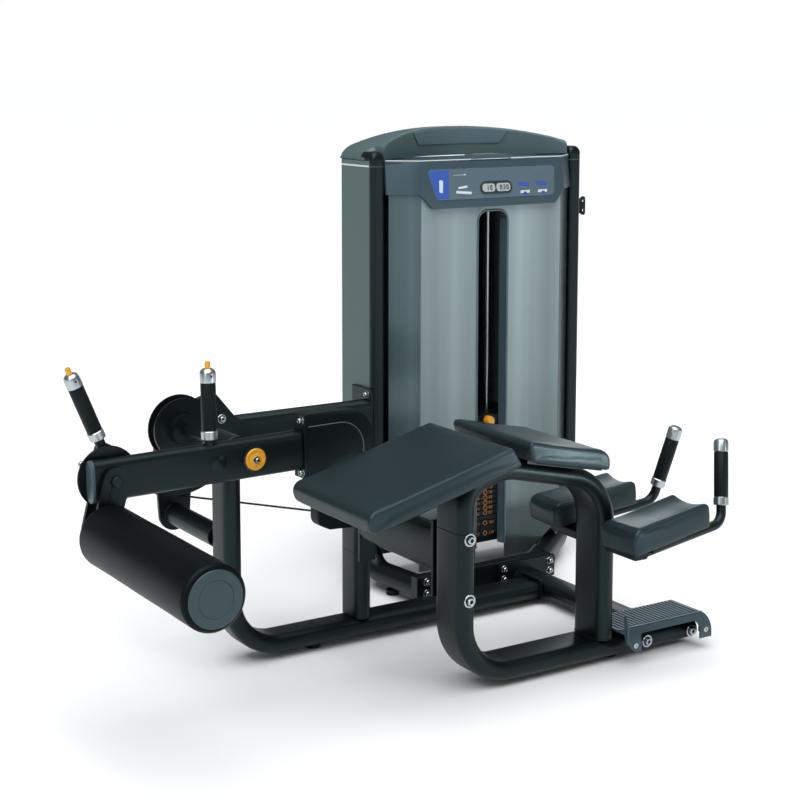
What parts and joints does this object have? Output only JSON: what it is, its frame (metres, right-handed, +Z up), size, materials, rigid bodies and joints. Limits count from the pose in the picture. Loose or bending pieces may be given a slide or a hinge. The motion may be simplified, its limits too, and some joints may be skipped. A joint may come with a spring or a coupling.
{
  "type": "leg curl machine",
  "caption": "Prone leg curl machine: angled bench, forearm pads, swing arm with ankle roller, cable cam, and an enclosed tower with a pin-selected weight stack.",
  "frame": {"origin": "middle of the bounding box footprint, on the floor", "axes": "+X runs from the foot end to the head end of the bench (longest), +Y from the bench to the weight tower (shortest), +Z up"},
  "size_m": [1.9502, 1.27, 1.372],
  "materials": {
    "frame_paint": "satin charcoal powder coat",
    "tower_paint": "satin charcoal powder coat",
    "weight_steel": "black powder coat",
    "grey_plastic": "fine textured moulding",
    "step_plastic": "ribbed moulding",
    "smoked_plastic": "smoked grey, smooth",
    "leatherette": "fine grained, satin",
    "roller_foam": "skinned foam",
    "black_rubber": "matt",
    "bright_alloy": "turned and polished",
    "bright_steel": "polished",
    "cable_jacket": "black jacketed steel rope",
    "yellow_accent": "smooth"
  },
  "bodies": {
    "frame": {"base_rail": "frame_paint", "pad_post": "frame_paint", "pad_cross_beam": "frame_paint", "bench_frame_lower": "frame_paint", "bench_frame_upper": "frame_paint", "cross_tube": "frame_paint", "footplate": "step_plastic", "base_rail_foot": "black_rubber", "bench_frame_foot": "black_rubber", "column_left": "tower_paint", "column_right": "tower_paint", "base_tube_left": "tower_paint", "base_tube_right": "tower_paint", "tower_base_bar": "tower_paint", "rear_base_bar": "tower_paint", "tower_foot_left": "black_rubber", "tower_foot_right": "black_rubber", "crown": "grey_plastic", "display_panel": "grey_plastic", "front_shroud": "smoked_plastic", "rear_shroud": "smoked_plastic", "pulley_carrier": "tower_paint", "guide_rod_left": "bright_steel", "guide_rod_right": "bright_steel", "weight_plates": "weight_steel", "accessory_bracket": "tower_paint", "pivot_bracket": "frame_paint", "upper_beam": "frame_paint", "drive_cable": "cable_jacket", "thigh_pad": "leatherette", "chest_pad": "leatherette", "forearm_pad_right": "leatherette", "forearm_pad_left": "leatherette", "forearm_arm_right": "frame_paint", "forearm_arm_left": "frame_paint", "forearm_sleeve_right": "bright_alloy", "forearm_sleeve_left": "bright_alloy", "forearm_grip_right": "black_rubber", "forearm_grip_left": "black_rubber"},
    "cam": {"pivot_shaft": "bright_steel", "cable_cam": "weight_steel"},
    "arm": {"swing_arm": "frame_paint", "arm_end_cap": "grey_plastic", "counterweight": "frame_paint", "pivot_marker": "yellow_accent", "start_handle_sleeve": "bright_alloy", "start_handle_grip": "black_rubber"},
    "start_button": {"start_handle_button": "yellow_accent"},
    "roller_carrier": {"roller_bracket": "frame_paint", "adjust_handle_sleeve": "bright_alloy", "adjust_handle_grip": "black_rubber"},
    "adjust_button": {"adjust_handle_button": "yellow_accent"},
    "ankle_roller": {"roller": "roller_foam", "roller_end_cap": "grey_plastic"},
    "lifted_weight": {"head_plate": "weight_steel", "lift_cable": "cable_jacket"},
    "pin": {"selector_pin": "yellow_accent"},
    "pulley_low": {"lower_pulley": "black_rubber"},
    "pulley_top_left": {"top_pulley_left": "black_rubber"},
    "pulley_top_centre": {"top_pulley_centre": "black_rubber"}
  },
  "joints": [
    {"name": "knee_curl", "type": "hinge", "parent": "frame", "child": "cam", "pos_m": [-0.49219, 0.148, 0.583], "axis": [0, 1, 0], "range_deg": [0, 115]},
    {"name": "start_position", "type": "hinge", "parent": "cam", "child": "arm", "pos_m": [-0.49219, -0.015, 0.583], "axis": [0, 1, 0], "range_deg": [-20, 30]},
    {"name": "roller_adjust", "type": "hinge", "parent": "arm", "child": "roller_carrier", "pos_m": [-0.86715, -0.015, 0.57678], "axis": [0, 1, 0], "range_deg": [-25, 35]},
    {"name": "roller_spin", "type": "hinge", "parent": "roller_carrier", "child": "ankle_roller", "pos_m": [-0.89912, -0.35, 0.45423], "axis": [0, 1, 0], "continuous": true},
    {"name": "start_button_press", "type": "slide", "parent": "arm", "child": "start_button", "axis": [0.0166, 0, -0.9999], "range_m": [0, 0.006], "stiffness_N_per_m": 250},
    {"name": "adjust_button_press", "type": "slide", "parent": "roller_carrier", "child": "adjust_button", "axis": [0.3835, 0, -0.9235], "range_m": [0, 0.006], "stiffness_N_per_m": 250},
    {"name": "stack_lift", "type": "slide", "parent": "frame", "child": "lifted_weight", "axis": [0, 0, 1], "range_m": [0, 0.38], "deforming": ["lift_cable"]},
    {"name": "pin_pull", "type": "slide", "parent": "lifted_weight", "child": "pin", "axis": [0, -1, 0], "range_m": [0, 0.06]},
    {"name": "lower_pulley_spin", "type": "hinge", "parent": "frame", "child": "pulley_low", "pos_m": [0.25281, 0.418, 0.2517], "axis": [0, 1, 0], "range_deg": [0, 482]},
    {"name": "top_left_pulley_spin", "type": "hinge", "parent": "frame", "child": "pulley_top_left", "pos_m": [0.3428, 0.498, 1.205], "axis": [0, 1, 0], "range_deg": [-482, 0]},
    {"name": "top_centre_pulley_spin", "type": "hinge", "parent": "frame", "child": "pulley_top_centre", "pos_m": [0.4998, 0.498, 1.205], "axis": [0, 1, 0], "range_deg": [-482, 0]}
  ],
  "couplings": [
    {"joint": "stack_lift", "follows": "knee_curl", "m_per_rad": 0.188},
    {"joint": "lower_pulley_spin", "follows": "knee_curl", "ratio": 4.1778},
    {"joint": "top_left_pulley_spin", "follows": "knee_curl", "ratio": -4.1778},
    {"joint": "top_centre_pulley_spin", "follows": "knee_curl", "ratio": -4.1778}
  ]
}
